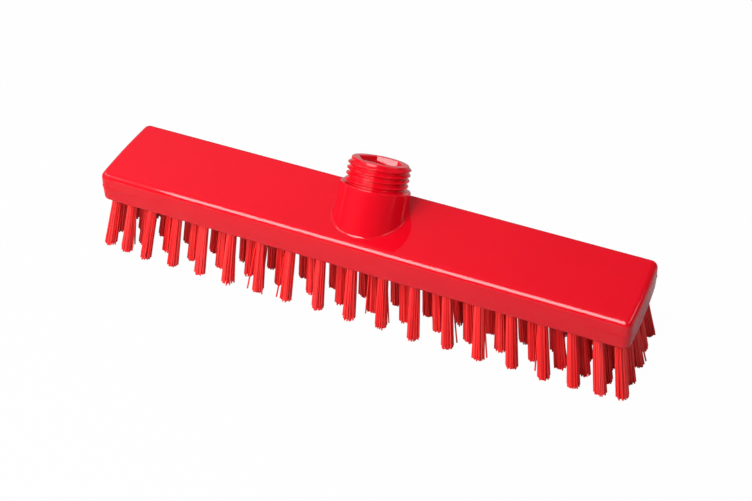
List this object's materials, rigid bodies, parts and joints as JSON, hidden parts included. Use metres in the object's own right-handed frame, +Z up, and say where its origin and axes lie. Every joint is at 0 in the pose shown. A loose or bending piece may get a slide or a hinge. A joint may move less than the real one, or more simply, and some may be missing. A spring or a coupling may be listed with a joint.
{
  "type": "floor scrub brush",
  "caption": "Floor scrub brush head: moulded block with rounded edges, a leaning hollow threaded neck for a handle, and fanned tufts of stiff filament trimmed level.",
  "frame": {"origin": "on the floor, under the middle of the block, level with the trimmed bristle tips", "axes": "+Z up, +X along the block, +Y to the back, where the neck leans"},
  "size_m": [0.2852, 0.0564, 0.0771],
  "materials": {
    "block": "moulded polypropylene, glossy",
    "bristle": "drawn polyester filament, satin",
    "anchor": "stainless flat wire, cut"
  },
  "bodies": {
    "root": {"brush_block": "block", "bristles_left": "bristle", "bristles_left_middle": "bristle", "bristles_right": "bristle", "bristles_right_middle": "bristle", "anchor_row1_1": "anchor", "anchor_row1_2": "anchor", "anchor_row1_3": "anchor", "anchor_row1_4": "anchor", "anchor_row1_5": "anchor", "anchor_row1_6": "anchor", "anchor_row1_7": "anchor", "anchor_row1_8": "anchor", "anchor_row1_9": "anchor", "anchor_row2_1": "anchor", "anchor_row2_2": "anchor", "anchor_row2_3": "anchor", "anchor_row2_4": "anchor", "anchor_row2_5": "anchor", "anchor_row2_6": "anchor", "anchor_row2_7": "anchor", "anchor_row2_8": "anchor", "anchor_row3_1": "anchor", "anchor_row3_2": "anchor", "anchor_row3_3": "anchor", "anchor_row3_4": "anchor", "anchor_row3_5": "anchor", "anchor_row3_6": "anchor", "anchor_row3_7": "anchor", "anchor_row3_8": "anchor", "anchor_row3_9": "anchor", "anchor_row4_1": "anchor", "anchor_row4_2": "anchor", "anchor_row4_3": "anchor", "anchor_row4_4": "anchor", "anchor_row4_5": "anchor", "anchor_row4_6": "anchor", "anchor_row4_7": "anchor", "anchor_row4_8": "anchor", "anchor_row4_9": "anchor", "anchor_row5_1": "anchor", "anchor_row5_2": "anchor", "anchor_row5_3": "anchor", "anchor_row5_4": "anchor", "anchor_row5_5": "anchor", "anchor_row5_6": "anchor", "anchor_row5_7": "anchor", "anchor_row5_8": "anchor", "anchor_row6_1": "anchor", "anchor_row6_2": "anchor", "anchor_row6_3": "anchor", "anchor_row6_4": "anchor", "anchor_row6_5": "anchor", "anchor_row6_6": "anchor", "anchor_row6_7": "anchor", "anchor_row6_8": "anchor", "anchor_row6_9": "anchor"}
  },
  "joints": []
}
